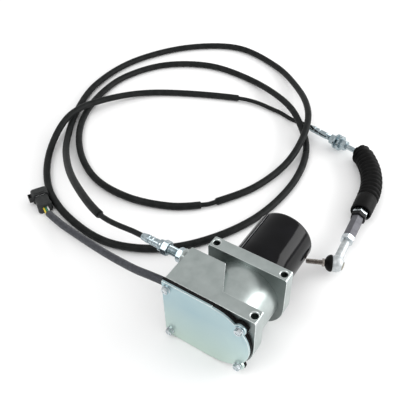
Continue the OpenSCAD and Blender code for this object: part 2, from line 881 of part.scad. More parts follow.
module sector_gear() {
    reach = 2 * (axis_x - lever_x);
    edge = reach * [cos(sector_half), sin(sector_half)];
    color([0.62, 0.63, 0.65]) at_lever() difference() {
        union() {
            along_y(sector_y, sector_y + sector_w) intersection() {
                rotate(180 / sector_teeth) polygon(gear_outline(sector_teeth, 0.9, 1.2, backlash));
                polygon([[0, 0], [edge[0], -edge[1]], edge]);
            }
            rod_y(lever_hub_r, sector_y, sector_y + sector_w);
        }
        rod_y(lever_shaft_r + press_gap, sector_y - 1, sector_y + sector_w + 1);
    }
}

module fork_lever() {
    color([0.62, 0.63, 0.65]) at_lever() difference() {
        union() {
            along_y(fork_y, fork_back_y) polygon([
                [-lever_hub_r, 0], [lever_hub_r, 0], [fork_half_w, fork_waist],
                [fork_half_w, fork_tip_r], [-fork_half_w, fork_tip_r], [-fork_half_w, fork_waist]
            ]);
            rod_y(lever_hub_r, fork_y, fork_back_y);
        }
        rod_y(lever_shaft_r + press_gap, fork_y - 1, fork_back_y + 1);
        translate([-fork_slot_w / 2, fork_y - 1, fork_slot_low]) cube([fork_slot_w, fork_t + 2, fork_tip_r]);
    }
}

module position_sensor() {
    back = front_y - gasket_t;
    color([0.13, 0.13, 0.14]) at_lever() {
        rod_y(sensor_r, back, rotor_y - side_gap);
        for (s = [-1, 1]) translate([0, 0, s * sensor_ear_reach])
            rod_y(sensor_ear_r, back, back + sensor_ear_t);
    }
}

module sensor_rotor() {
    color([0.82, 0.8, 0.72]) at_lever() ring_y(rotor_r, rotor_bore_r + press_gap, rotor_y, rotor_y + rotor_t);
}

// Pull wire inside the housing
module wire_terminal() {
    color([0.66, 0.66, 0.68]) translate([lever_x, wire_y, wire_z]) difference() {
        union() {
            rod_x(terminal_r, -terminal_half_l, terminal_half_l);
            translate([0, -wire_y, 0]) rod_y(fork_pin_r, fork_y - 1, wire_y);
        }
        rod_x(wire_r + press_gap, -terminal_half_l - 1, 1);
    }
}

module inner_wire() {
    color([0.6, 0.6, 0.62]) translate([0, wire_y, wire_z]) rod_x(wire_r, wire_end_x, lever_x + 1 - press_gap);
}

// Cable fitting on the left wall
module motor_end_fitting() {
    color([0.75, 0.78, 0.8]) translate([0, wire_y, wire_z]) difference() {
        union() {
            rod_x(hub_r - press_gap, ferrule_collar_x, left_x + wall_t);
            rotate([0, 90, 0]) rotate_extrude() polygon([
                [0, ferrule_end_x], [conduit_r + ferrule_lip, ferrule_end_x],
                [ferrule_r, ferrule_end_x + ferrule_taper], [ferrule_r, ferrule_collar_x - 4],
                [ferrule_collar_r, ferrule_collar_x - 3], [ferrule_collar_r, ferrule_collar_x],
                [0, ferrule_collar_x]
            ]);
        }
        rod_x(wire_r + wire_gap, ferrule_end_x + 5, left_x + wall_t + 1);
    }
}

module motor_end_locknut() {
    color([0.72, 0.75, 0.77]) translate([0, wire_y, wire_z]) {
        hex_x(hub_nut_af, hub_end_x - hub_nut_w, hub_end_x, hub_r);
        hex_x(hub_nut_af, left_x - hub_boss_out - wall_nut_w, left_x - hub_boss_out, hub_r);
    }
}

// Control cable: bare conduit between three sleeves
cable_path = concat(
    [[ferrule_end_x, wire_y, wire_z], [ferrule_end_x - cable_lead, wire_y, wire_z]],
    cable_route,
    [engine_at - cable_lead * engine_axis, engine_at]
);
cable_curve = curve(cable_path, curve_steps);

module cable_conduit() {
    color([0.13, 0.14, 0.14]) {
        cord(cable_curve, 0, sleeve_1_from, conduit_r);
        cord(cable_curve, sleeve_1_to, sleeve_2_from, conduit_r);
        cord(cable_curve, sleeve_3_to, len(cable_path) - 1, conduit_r);
    }
}

module cable_sleeve_1() {
    color([0.14, 0.15, 0.15]) cord(cable_curve, sleeve_1_from, sleeve_1_to, sleeve_r);
}

module cable_sleeve_2() {
    color([0.14, 0.15, 0.15]) cord(cable_curve, sleeve_2_from, sleeve_2_to, sleeve_r);
}

module cable_sleeve_3() {
    color([0.14, 0.15, 0.15]) cord(cable_curve, sleeve_2_to, sleeve_3_to, sleeve_r);
}

// Engine end of the cable
module engine_end_fitting() {
    thread_s = engine_ferrule_l - engine_ferrule_taper;
    thread_end_s = nut_2_s + engine_nut_t;
    color([0.75, 0.78, 0.8]) at_engine() difference() {
        rotate([0, 90, 0]) rotate_extrude() polygon([
            [0, 0], [conduit_r + ferrule_lip, 0], [ferrule_r, engine_ferrule_taper],
            [ferrule_r, thread_s - 1],
            [engine_thread_r, thread_s], [engine_thread_r, thread_end_s],
            [engine_tube_r, thread_end_s], [engine_tube_r, tube_end_s], [0, tube_end_s]
        ]);
        rod_x(wire_r + wire_gap, engine_ferrule_l, tube_end_s + 1);
    }
}

module bulkhead_nuts() {
    color([0.72, 0.75, 0.77]) at_engine() for (s = [nut_1_s, nut_2_s])
        hex_x(engine_nut_af, s, s + engine_nut_t, engine_thread_r + press_gap);
}

module bulkhead_washers() {
    color([0.78, 0.8, 0.82]) at_engine() for (s = [washer_s, nut_2_s - engine_washer_t])
        difference() {
            rod_x(engine_washer_r, s, s + engine_washer_t);
            rod_x(engine_thread_r + press_gap, s - 1, s + engine_washer_t + 1);
        }
}

// Path of the boot: from the tube, round a tight and a wide bend, then along the rod's axis
boot_folds = 13;
boot_kink_l = boot_kink_r * boot_kink * PI / 180;
boot_bend_l = boot_kink_l + boot_bend_r * boot_bend * PI / 180;
function round_bend(mid, r, a) = mid + r * [-sin(a), cos(a), 0];
function boot_point(s) =
    s < 0 ? bend_from + s * engine_axis :
    s < boot_kink_l ? round_bend(kink_mid, boot_kink_r, engine_turn - s / boot_kink_r * 180 / PI) :
    s > boot_bend_l ? rod_at + (s - boot_bend_l) * [cos(rod_turn), sin(rod_turn), 0] :
    round_bend(bend_mid, boot_bend_r, bend_turn - (s - boot_kink_l) / boot_bend_r * 180 / PI);
boot_fold_l = boot_bend_l + boot_fold_end_s;
boot_l = boot_bend_l + boot_end_s;
boot_collar = 3;
boot_collar_r = 6.4;
boot_back = 3;
boot_groove = 1.2;
boot_cuff_r = boot_r - 0.5;
boot_lip_r = boot_r - 1;
boot_bore_r = boot_nut_af / 2 / cos(30) + 0.7;
boot_wire_l = boot_bend_l + boot_nut_s - 0.5;
fold_step = (boot_fold_l - boot_collar) / boot_folds;
boot_stops = concat(
    [[-boot_back, boot_collar_r], [0, boot_collar_r]],
    [for (i = [0 : boot_folds - 1], k = [[0, boot_r - boot_groove], [0.36, boot_r], [0.64, boot_r]])
        [boot_collar + (i + k[0]) * fold_step, k[1]]],
    [[boot_fold_l, boot_r - boot_groove], [boot_fold_l + 2, boot_cuff_r], [boot_l, boot_lip_r]]
);

module bellows_boot() {
    steps = 18;
    bore = concat(
        [[-boot_back - 2, engine_tube_r + screw_gap], [boot_collar, engine_tube_r + screw_gap]],
        [for (i = [1 : steps]) [boot_collar + i * (boot_l - boot_collar) / steps, boot_bore_r]],
        [[boot_l + 2, boot_bore_r]]
    );
    color([0.06, 0.06, 0.06]) difference() {
        swept([for (b = boot_stops) boot_point(b[0])], [for (b = boot_stops) b[1]], 20);
        swept([for (b = bore) boot_point(b[0])], [for (b = bore) b[1]], 20);
    }
}

module boot_wire() {
    steps = 16;
    stops = [for (i = [0 : steps]) 0.5 + (boot_wire_l - 0.5) * i / steps];
    color([0.6, 0.6, 0.62]) swept([for (b = stops) boot_point(b)], [for (b = stops) wire_r], 10);
}

module boot_nut() {
    color([0.74, 0.77, 0.79]) at_rod()
        hex_x(boot_nut_af, boot_nut_s, black_nut_s, rod_thread_r + press_gap);
}

module black_nut() {
    color([0.08, 0.08, 0.08]) at_rod() hex_x(boot_nut_af, black_nut_s, link_s, rod_thread_r + press_gap);
}

module hex_link() {
    color([0.5, 0.5, 0.52]) at_rod() {
        hex_x(link_af, link_s, locknut_s);
        rod_x(rod_thread_r, boot_nut_s, link_s + 1);
    }
}

module rod_end_locknut() {
    color([0.74, 0.77, 0.79]) at_rod() hex_x(locknut_af, locknut_s, shank_s, rod_thread_r + press_gap);
}

// Arc of a turned profile about the ball, as distance from the axis and height along it
function ball_arc(r, from, to, steps) =
    [for (i = [0 : steps]) let (a = from + (to - from) * i / steps) r * [sin(a), cos(a)]];

module rod_end() {
    socket_r = ball_r + 3 * run_gap;
    shank_end_s = ball_s - socket_r - 1;
    mouth = 56;
    back = 150;
    color([0.66, 0.68, 0.7]) at_rod() {
        translate([ball_s, 0, 0]) rotate([90, 0, 0]) rotate_extrude() polygon(concat(
            [[0, head_r * cos(back)]], ball_arc(head_r, back, mouth, 14), ball_arc(socket_r, mouth, 180, 16)
        ));
        rotate([0, 90, 0]) rotate_extrude() polygon([
            [0, locknut_s], [rod_thread_r, locknut_s], [rod_thread_r, shank_s], [shank_neck_r, shank_s],
            [shank_r, shank_s + shank_taper], [shank_r, shank_end_s], [0, shank_end_s]
        ]);
    }
}

// Ball stud: local X points along the stud from the ball
module at_stud() {
    translate(ball_at) rotate([0, 0, stud_turn]) children();
}

module ball_stud() {
    neck_turn = asin(stud_neck_r / ball_r);
    color([0.72, 0.75, 0.77]) at_stud() rotate([0, 90, 0]) rotate_extrude() polygon(concat(
        ball_arc(ball_r, 180, neck_turn, 18),
        [[stud_neck_r, stud_collar_s], [stud_collar_r, stud_collar_s],
         [stud_collar_r, stud_collar_s + stud_collar_t], [stud_r, stud_collar_s + stud_collar_t],
         [stud_r, stud_end_s - stud_chamfer], [stud_r - stud_chamfer, stud_end_s], [0, stud_end_s]]
    ));
}

module dust_boot() {
    inside_r = head_r + 0.4;
    outside_r = head_r + 2.2;
    edge = 44;
    bore_r = stud_neck_r + press_gap;
    color([0.06, 0.06, 0.06]) at_stud() rotate([0, 90, 0]) rotate_extrude() polygon(concat(
        ball_arc(inside_r, asin(bore_r / inside_r), edge, 6),
        ball_arc(outside_r, edge, asin(bore_r / outside_r), 6)
    ));
}

// Wiring harness and connector
module harness_grommet() {
    color([0.07, 0.07, 0.07]) translate([0, harness_exit[1], harness_exit[2]]) {
        rod_x(harness_r + grommet_wall - press_gap, left_x, left_x + wall_t);
        rod_x(harness_r + grommet_lip, left_x - grommet_out, left_x);
    }
}

module harness_sleeve() {
    color([0.29, 0.3, 0.32]) cord(curve(harness_path, curve_steps), 0, len(harness_path) - 1, harness_r);
}

module at_connector() {
    translate(connector_at) rotate([0, 0, connector_turn]) children();
}

module lead_wires() {
    start = harness_route[len(harness_route) - 1];
    along = [cos(connector_turn), sin(connector_turn), 0];
    across = [sin(connector_turn), -cos(connector_turn), 0];
    color([0.8, 0.75, 0.3]) for (k = [-1, 0, 1]) {
        near = start + lead_pitch * k * across + lead_gap * along;
        far = connector_at + lead_pitch * k * across - seat_gap * along;
        swept([near, (near + far) / 2 + [0, 0, 0.4], far], [lead_r, lead_r, lead_r], 8);
    }
}

module connector_body() {
    color([0.12, 0.12, 0.13]) at_connector() rotate([90, 0, 90]) linear_extrude(connector_l)
        rounded_plate(-connector_w / 2, connector_w / 2, -connector_drop, connector_h - connector_drop,
            connector_corner_r, connector_corner_r, connector_corner_r);
}

module lock_outline(inset) {
    r = lock_corner_r - inset / 2;
    half = lock_w / 2 - inset;
    rounded_plate(-half, half, inset - connector_drop, lock_h - connector_drop - inset, r, r, r);
}

module connector_lock() {
    color([0.11, 0.11, 0.12]) at_connector() {
        rotate([90, 0, 90]) translate([0, 0, connector_l]) linear_extrude(lock_l) difference() {
            lock_outline(0);
            lock_outline(lock_wall);
        }
        translate([connector_l + 1 + latch_l / 2, (lock_w + latch_w) / 2, 0]) difference() {
            cube([latch_l, latch_w, latch_h], center = true);
            cube([latch_hole_l, latch_hole_w, 2 * latch_h], center = true);
        }
    }
}

gear_housing();
cover_plate();
cover_gasket();
cover_screws();
cover_washers();
motor_can();
motor_gasket();
field_magnets();
brush_card();
carbon_brushes();
front_motor_bush();
rear_motor_bush();
ring_gear();
bearing_plate();
plate_screws();
carrier_bush();
lever_bush();
position_sensor();
harness_grommet();
motor_end_fitting();
motor_end_locknut();
cable_conduit();
cable_sleeve_1();
cable_sleeve_2();
cable_sleeve_3();
engine_end_fitting();
bulkhead_nuts();
bulkhead_washers();
bellows_boot();
boot_wire();
harness_sleeve();
lead_wires();
connector_body();
connector_lock();
armature_shaft();
armature_core();
armature_windings();
commutator();
sun_gear();
planet_carrier();
planet_pins();
carrier_pinion();
planet_gear_1();
planet_gear_2();
planet_gear_3();
lever_shaft();
lever_nut();
sector_gear();
fork_lever();
sensor_rotor();
wire_terminal();
inner_wire();
boot_nut();
black_nut();
hex_link();
rod_end_locknut();
rod_end();
dust_boot();
ball_stud();
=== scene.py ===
import json
from math import cos, pi, radians, sin
import bmesh
import bpy
from mathutils import Matrix, Vector


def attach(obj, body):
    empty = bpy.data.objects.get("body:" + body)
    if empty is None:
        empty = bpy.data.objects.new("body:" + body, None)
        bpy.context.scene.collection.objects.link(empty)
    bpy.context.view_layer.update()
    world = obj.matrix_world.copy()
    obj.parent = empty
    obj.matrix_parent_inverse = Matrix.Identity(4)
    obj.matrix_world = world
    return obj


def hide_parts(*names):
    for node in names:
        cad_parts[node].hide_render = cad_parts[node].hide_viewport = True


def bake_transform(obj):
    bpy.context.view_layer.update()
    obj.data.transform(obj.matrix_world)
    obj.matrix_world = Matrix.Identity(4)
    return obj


# Frame, camera, table and light
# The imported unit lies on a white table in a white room, under the camera that was fitted to the photograph.
# A low soft panel at the right throws the shadows to the left, and a weaker one over the camera fills them.
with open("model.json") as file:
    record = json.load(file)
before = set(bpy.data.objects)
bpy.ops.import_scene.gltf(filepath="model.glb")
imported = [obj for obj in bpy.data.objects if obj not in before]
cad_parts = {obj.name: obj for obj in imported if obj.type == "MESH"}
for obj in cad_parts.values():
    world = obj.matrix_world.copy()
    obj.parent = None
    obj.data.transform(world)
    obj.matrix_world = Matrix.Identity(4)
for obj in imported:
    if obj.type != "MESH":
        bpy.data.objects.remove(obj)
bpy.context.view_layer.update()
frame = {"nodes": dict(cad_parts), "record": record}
bpy.ops.object.select_all(action="DESELECT")
bpy.context.scene.view_settings.view_transform = "Standard"

bpy.ops.object.camera_add()
camera = bpy.context.object
camera.name = "photo_camera"
camera.data.lens = 50.1
camera.data.sensor_width = 36
camera.data.clip_start = 0.01
turn, dip, roll = radians(-33.69), radians(44.44), radians(-0.94)
ahead = Vector((sin(turn) * cos(dip), cos(turn) * cos(dip), -sin(dip)))
right = Vector((cos(turn), -sin(turn), 0))
above = right.cross(ahead)
across = cos(roll) * right + sin(roll) * above
upward = cos(roll) * above - sin(roll) * right
stand = Matrix.Translation((0.17815, -0.328, 0.5119))
camera.matrix_world = stand @ Matrix((across, upward, -ahead)).transposed().to_4x4()
bpy.context.scene.camera = camera

table_top = -0.0003
bpy.ops.mesh.primitive_plane_add(size=9, location=(0, 0, table_top))
table = bpy.context.object
table.name = "white_table"
white = bpy.data.materials.new("table_white")
white.use_nodes = True
paint = white.node_tree.nodes["Principled BSDF"].inputs
paint["Base Color"].default_value = (0.9, 0.9, 0.9, 1)
paint["Roughness"].default_value = 0.9
paint["Specular IOR Level"].default_value = 0.1
table.data.materials.append(white)

sky = bpy.data.worlds.new("white_room")
bpy.context.scene.world = sky
sky.use_nodes = True
tree = sky.node_tree
seen = tree.nodes.new("ShaderNodeLightPath")
mirrored = tree.nodes.new("ShaderNodeMapRange")
mirrored.inputs["To Min"].default_value = 1.0
mirrored.inputs["To Max"].default_value = 0.72
tree.links.new(seen.outputs["Is Glossy Ray"], mirrored.inputs["Value"])
level = tree.nodes.new("ShaderNodeMapRange")
level.inputs["To Max"].default_value = 1.0
tree.links.new(seen.outputs["Is Camera Ray"], level.inputs["Value"])
tree.links.new(mirrored.outputs["Result"], level.inputs["To Min"])
tree.nodes["Background"].inputs["Color"].default_value = (1, 1, 1, 1)
tree.links.new(level.outputs["Result"], tree.nodes["Background"].inputs["Strength"])

lit_spot = Vector((0.0, 0.08, 0.04))
for name, at, wide, high, power in (("right_panel", (0.77, 0.65, 0.42), 1.2, 0.5, 8.5),
                                    ("front_panel", (-0.4, -0.7, 1.3), 0.9, 0.7, 4.5)):
    bpy.ops.object.light_add(type="AREA", location=at)
    panel = bpy.context.object
    panel.name = name
    panel.data.shape = "RECTANGLE"
    panel.data.size, panel.data.size_y = wide, high
    panel.data.energy = power
    panel.rotation_euler = (lit_spot - panel.location).to_track_quat("-Z", "Y").to_euler()


# Control cable
# A push-pull cable: a black plastic conduit over wire, with three lengths of rubber hose pushed over it
# where it would rub. It leaves the left wall, lies in two and a half loose turns and ends at the right.
def surface(name, dark, light, scale, rough, bump=0.0, fine=900.0, metal=0.0, specular=0.5,
            spread=(0.35, 0.65)):
    """A procedural finish in the piece's own space: two tones, a roughness range and a fine relief."""
    made = bpy.data.materials.new(name)
    made.use_nodes = True
    nodes, links = made.node_tree.nodes, made.node_tree.links
    shader = nodes["Principled BSDF"]
    shader.inputs["Metallic"].default_value = metal
    shader.inputs["Specular IOR Level"].default_value = specular
    place = nodes.new("ShaderNodeTexCoord")
    cloud = nodes.new("ShaderNodeTexNoise")
    cloud.inputs["Scale"].default_value = scale
    cloud.inputs["Detail"].default_value = 6
    tones = nodes.new("ShaderNodeValToRGB")
    tones.color_ramp.elements[0].position, tones.color_ramp.elements[1].position = spread
    tones.color_ramp.elements[0].color = (*dark, 1)
    tones.color_ramp.elements[1].color = (*light, 1)
    grain = nodes.new("ShaderNodeTexNoise")
    grain.inputs["Scale"].default_value = fine
    grain.inputs["Detail"].default_value = 3
    sheen = nodes.new("ShaderNodeMapRange")
    sheen.inputs["To Min"].default_value, sheen.inputs["To Max"].default_value = rough
    links.new(place.outputs["Object"], cloud.inputs["Vector"])
    links.new(place.outputs["Object"], grain.inputs["Vector"])
    links.new(cloud.outputs["Fac"], tones.inputs["Fac"])
    links.new(tones.outputs["Color"], shader.inputs["Base Color"])
    links.new(grain.outputs["Fac"], sheen.inputs["Value"])
    links.new(sheen.outputs["Result"], shader.inputs["Roughness"])
    if bump:
        relief = nodes.new("ShaderNodeBump")
        relief.inputs["Strength"].default_value = bump
        relief.inputs["Distance"].default_value = 0.0002
        links.new(grain.outputs["Fac"], relief.inputs["Height"])
        links.new(relief.outputs["Normal"], shader.inputs["Normal"])
    return made


def smooth_line(points, steps):
    """The rounded line through a route's points, straight in its first and last stretch."""
    line = []
    last = len(points) - 2
    for i in range(last + 1):
        b, c = points[i], points[i + 1]
        for k in range(steps):
            u = k / steps
            if i in (0, last):
                line.append(b.lerp(c, u))
            else:
                a, d = points[i - 1], points[i + 2]
                line.append(0.5 * (2 * b + (c - a) * u + (2 * a - 5 * b + 4 * c - d) * u * u
                                   + (3 * b - a - 3 * c + d) * u ** 3))
    return line + [points[-1]]


def route_curve(name, line):
    """A curve that runs straight from point to point of a line."""
    data = bpy.data.curves.new(name, "CURVE")
    data.dimensions = "3D"
    spline = data.splines.new("POLY")
    spline.points.add(len(line) - 1)
    for point, at in zip(spline.points, line):
        point.co = (*at, 1)
    made = bpy.data.objects.new(name, data)
    bpy.context.scene.collection.objects.link(made)
    return made


def round_cord(name, line, radius, material, end=1.0):
    """A round cord along a line, with its two ends drawn in to a share of the radius."""
    if end < 1:
        lead = 0.3 * radius
        head = line[0] + (line[1] - line[0]).normalized() * lead
        tail = line[-1] + (line[-2] - line[-1]).normalized() * lead
        line = [line[0], head] + line[1:-1] + [tail, line[-1]]
    made = route_curve(name, line)
    made.data.bevel_depth = radius
    made.data.bevel_resolution = 8
    made.data.use_fill_caps = True
    made.data.materials.append(material)
    spline = made.data.splines[0]
    spline.points[0].radius = spline.points[-1].radius = end
    spline.use_smooth = True
    return made


cable_points = [Vector(p) for p in (
    (-0.10375, -0.0274, 0.0745), (-0.11375, -0.0274, 0.0745),
    (-0.164, -0.025, 0.071), (-0.237, 0.012, 0.052), (-0.3, 0.058, 0.027), (-0.35, 0.108, 0.01),
    (-0.392, 0.174, 0.005), (-0.415, 0.246, 0.005), (-0.408, 0.332, 0.005), (-0.36, 0.415, 0.005),
    (-0.284, 0.463, 0.005), (-0.2, 0.446, 0.005), (-0.134, 0.398, 0.01), (-0.088, 0.338, 0.021),
    (-0.067, 0.284, 0.02), (-0.064, 0.228, 0.009), (-0.078, 0.168, 0.005), (-0.106, 0.117, 0.005),
    (-0.119, 0.102, 0.005), (-0.152, 0.079, 0.005), (-0.205, 0.064, 0.005), (-0.264, 0.069, 0.005),
    (-0.32, 0.101, 0.005), (-0.364, 0.152, 0.005), (-0.388, 0.214, 0.005), (-0.39, 0.284, 0.005),
    (-0.356, 0.35, 0.005), (-0.29, 0.388, 0.005), (-0.21, 0.386, 0.005), (-0.132, 0.35, 0.013),
    (-0.086, 0.31, 0.014), (-0.053, 0.264, 0.006), (-0.04, 0.19, 0.005), (-0.054, 0.106, 0.005),
    (-0.101, 0.031, 0.005), (-0.168, -0.008, 0.005), (-0.24, -0.005, 0.005), (-0.306, 0.024, 0.005),
    (-0.356, 0.08, 0.008), (-0.379, 0.148, 0.017), (-0.366, 0.212, 0.012), (-0.316, 0.278, 0.005),
    (-0.201, 0.331, 0.005), (-0.14, 0.334, 0.004), (-0.106, 0.326, 0.004),
    (-0.083173, 0.3175016, 0.0100812), (-0.0735, 0.315, 0.0105))]
route_steps = 8
cable_line = smooth_line(cable_points, route_steps)
conduit_black = surface("conduit_black", (0.006, 0.007, 0.007), (0.012, 0.013, 0.013), 160, (0.34, 0.5), 0.15,
                        1400, specular=0.14)
hose_black = surface("hose_black", (0.006, 0.007, 0.007), (0.013, 0.014, 0.014), 120, (0.42, 0.58), 0.3,
                     1100, specular=0.14)
conduit_r, hose_r, hose_mouth = 0.003, 0.0047, 0.84
conduit = round_cord("control_cable", cable_line, conduit_r, conduit_black)
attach(conduit, "actuator")
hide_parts("cable_conduit")
for n, (first, last) in enumerate(((2, 17), (18, 31), (31, 42)), 1):
    covered = cable_line[route_steps * first:route_steps * last + 1]
    hose = round_cord(f"rubber_hose_{n}", covered, hose_r, hose_black, hose_mouth)
    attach(hose, "actuator")
    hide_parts(f"cable_sleeve_{n}")


# Wiring harness
# A ribbed grey plastic tube over three leads, from a rubber grommet in the left wall down to the table.
# The ribs are moulded; one rib is modelled, repeated along the tube and laid along its route.
def settle(made, material, smooth=35):
    """Merges the piece, turns its faces outward, smooths its round faces and gives it its finish."""
    bpy.ops.object.mode_set(mode="EDIT")
    bpy.ops.mesh.select_all(action="SELECT")
    bpy.ops.mesh.remove_doubles(threshold=0.000002)
    bpy.ops.mesh.normals_make_consistent(inside=False)
    bpy.ops.object.mode_set(mode="OBJECT")
    made.data.materials.clear()
    made.data.materials.append(material)
    bpy.ops.object.shade_smooth_by_angle(angle=radians(smooth))
    return made


def turned(name, profile, material, sides=40, hollow=False, smooth=35):
    """A piece turned about the x axis from stops of (along, radius) in mm, with flat ends or as a ring."""
    bpy.ops.object.select_all(action="DESELECT")
    along, radius = profile[0]
    bpy.ops.mesh.primitive_circle_add(vertices=sides, radius=radius / 1000, location=(along / 1000, 0, 0),
                                      rotation=(0, pi / 2, 0), fill_type="NOTHING" if hollow else "NGON")
    made = bpy.context.object
    made.name = name
    made.data.name = name
    bpy.ops.object.transform_apply(location=True, rotation=True, scale=True)
    bpy.ops.object.mode_set(mode="EDIT")
    bpy.ops.mesh.select_all(action="SELECT")
    for s, r in profile[1:]:
        bpy.ops.mesh.extrude_region_move(TRANSFORM_OT_translate={"value": ((s - along) / 1000, 0, 0)})
        if r != radius:
            bpy.ops.transform.resize(value=(1, r / radius, r / radius), center_override=(s / 1000, 0, 0))
        along, radius = s, r
    bpy.ops.object.mode_set(mode="OBJECT")
    return settle(made, material, smooth)


def along_route(made, line):
    """Lays a piece that runs along x over a route, with a curve modifier that is then applied."""
    route = route_curve("route", line)
    bpy.context.view_layer.objects.active = made
    bend = made.modifiers.new("lay", "CURVE")
    bend.object = route
    bend.deform_axis = "POS_X"
    bpy.ops.object.modifier_apply(modifier="lay")
    bpy.data.objects.remove(route)


harness_points = [Vector(p) for p in (
    (-0.05175, -0.053, 0.057), (-0.06175, -0.053, 0.057), (-0.078, -0.0525, 0.054), (-0.104, -0.049, 0.045),
    (-0.151, -0.0395, 0.03), (-0.2, -0.028, 0.016), (-0.242, -0.02, 0.0095), (-0.268, -0.0145, 0.009))]
harness_line = smooth_line(harness_points, 10)
harness_length = sum((b - a).length for a, b in zip(harness_line, harness_line[1:]))
harness_grey = surface("harness_grey", (0.036, 0.038, 0.046), (0.060, 0.063, 0.074), 240, (0.30, 0.46), 0.15,
                       1500, specular=0.4)
ribs = 150
pitch = 1000 * harness_length / ribs
root_r, crest_r = 3.8, 4.3
one_rib = [(0, root_r), (0.18 * pitch, crest_r), (0.6 * pitch, crest_r), (0.78 * pitch, root_r),
           (pitch, root_r)]
harness = turned("ribbed_harness", one_rib, harness_grey, 20, True, 60)
repeat = harness.modifiers.new("ribs", "ARRAY")
repeat.use_relative_offset = False
repeat.use_constant_offset = True
repeat.constant_offset_displace = (pitch / 1000, 0, 0)
repeat.count = ribs
repeat.use_merge_vertices = True
repeat.merge_threshold = 0.00001
bpy.ops.object.modifier_apply(modifier="ribs")
along_route(harness, harness_line)
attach(harness, "actuator")
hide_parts("harness_sleeve")

# Connector and its leads
# A black moulded three-way connector: a body with a skirt round the leads, and a front collar with a latch.
# The leads are yellow, green and white, pressed into the back of the body.
plug_turn, lead_gap = 150, 0.0024
way = Vector((cos(radians(plug_turn)), sin(radians(plug_turn)), 0))
beside = Vector((sin(radians(plug_turn)), -cos(radians(plug_turn)), 0))
plug_at = Vector((-0.2785, -0.0088, 0.0088))
# The lead colours are painted darker than bare insulation, painted shade from the connector's skirt.
for name, k, tone, shade in (("lead_yellow", -1, (0.70, 0.55, 0.06), (0.56, 0.42, 0.03)),
                             ("lead_green", 0, (0.02, 0.22, 0.10), (0.015, 0.15, 0.07)),
                             ("lead_white", 1, (0.62, 0.62, 0.58), (0.5, 0.5, 0.47))):
    near = harness_points[-1] + 0.0012 * way + lead_gap * k * beside
    far = plug_at - 0.0001 * way + lead_gap * k * beside
    inside = harness_points[-2].lerp(harness_points[-1], 0.86) + 0.0018 * k * beside
    middle = (near + far) / 2 + Vector((0, 0, 0.0004))
    lead = round_cord(name, smooth_line([inside, near, middle, far], 6), 0.001,
                      surface(name, shade, tone, 900, (0.3, 0.42), 0.05))
    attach(lead, "actuator")
    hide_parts("lead_wires")


def dressed(name, node, material, width, edge=None, angle=30):
    """A merged copy of a CAD node with its sharp edges rounded off, which stands for that node."""
    bpy.ops.object.select_all(action="DESELECT")
    made = bpy.data.objects.new(name, frame["nodes"][node].data.copy())
    made.data.name = name
    bpy.context.scene.collection.objects.link(made)
    made.select_set(True)
    bpy.context.view_layer.objects.active = made
    bpy.ops.object.mode_set(mode="EDIT")
    bpy.ops.mesh.select_all(action="SELECT")
    bpy.ops.mesh.remove_doubles(threshold=0.00001)
    bpy.ops.mesh.dissolve_limited(angle_limit=radians(0.5))
    bpy.ops.object.mode_set(mode="OBJECT")
    made.data.materials.clear()
    made.data.materials.append(material)
    made.data.materials.append(edge or material)
    for face in made.data.polygons:
        face.material_index = 0
    form = bmesh.new()
    form.from_mesh(made.data)
    sharp = form.edges.layers.float.new("bevel_weight_edge")
    for line in form.edges:
        if line.is_manifold and line.calc_face_angle_signed() > radians(angle):
            line[sharp] = 1.0
    form.to_mesh(made.data)
    form.free()
    soft = made.modifiers.new("edges", "BEVEL")
    soft.width = width / 1000
    soft.segments = 2
    soft.limit_method = "WEIGHT"
    soft.use_clamp_overlap = False
    soft.material = 1 if edge else -1
    bpy.ops.object.modifier_apply(modifier="edges")
    bpy.ops.object.shade_smooth_by_angle(angle=radians(angle))
    level = made.modifiers.new("level", "WEIGHTED_NORMAL")
    level.keep_sharp = True
    bpy.ops.object.modifier_apply(modifier="level")
    body = next(b for b, ns in frame["record"]["behaviour"]["bodies"].items() if node in ns)
    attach(made, body)
    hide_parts(node)
    return made


plug_black = surface("plug_black", (0.012, 0.013, 0.013), (0.022, 0.024, 0.024), 300, (0.42, 0.56), 0.35,
                     1600, specular=0.4)
plug_body = dressed("connector_shell", "connector_body", plug_black, 0.8)
plug_lock = dressed("connector_collar", "connector_lock", plug_black, 0.6)


def block(name, size, at):
    """A plain block that lies along the connector, ready to be rounded."""
    bpy.ops.object.select_all(action="DESELECT")
    bpy.ops.mesh.primitive_cube_add(size=1)
    made = bpy.context.object
    made.name = made.data.name = name
    made.scale = size
    made.location = at
    bpy.ops.object.transform_apply(location=True, rotation=True, scale=True)
    return made


def moved(made, at, turn, body, lift=0):
    """Puts a piece made along x at its place in the unit and lets it ride there."""
    made.data.transform(Matrix.Translation(at) @ Matrix.Rotation(radians(turn), 4, "Z")
                        @ Matrix.Rotation(radians(-lift), 4, "Y"))
    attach(made, body)
    return made


skirt = block("connector_skirt", (0.0055, 0.0184, 0.0150), (0.0023, 0, -0.0012))
bpy.ops.object.mode_set(mode="EDIT")
bpy.ops.mesh.select_all(action="SELECT")
bpy.ops.mesh.bevel(offset=0.0025, segments=4, affect="EDGES")
bpy.ops.object.mode_set(mode="OBJECT")
settle(skirt, plug_black)
moved(skirt, plug_at, plug_turn, "actuator")

raised = block("collar_panel", (0.0084, 0.0146, 0.0016), (0.02525, 0, 0.0077))
upright = bmesh.new()
upright.from_mesh(raised.data)
corners = upright.edges.layers.float.new("bevel_weight_edge")
for line in upright.edges:
    if abs(line.verts[0].co.z - line.verts[1].co.z) > 0.001:
        line[corners] = 1.0
upright.to_mesh(raised.data)
upright.free()
for width, limit in ((0.0032, "WEIGHT"), (0.0004, "ANGLE")):
    soft = raised.modifiers.new("corners", "BEVEL")
    soft.width = width
    soft.segments = 5
    soft.limit_method = limit
    soft.angle_limit = radians(50)
    bpy.ops.object.modifier_apply(modifier="corners")
settle(raised, plug_black)
moved(raised, plug_at, plug_turn, "actuator")
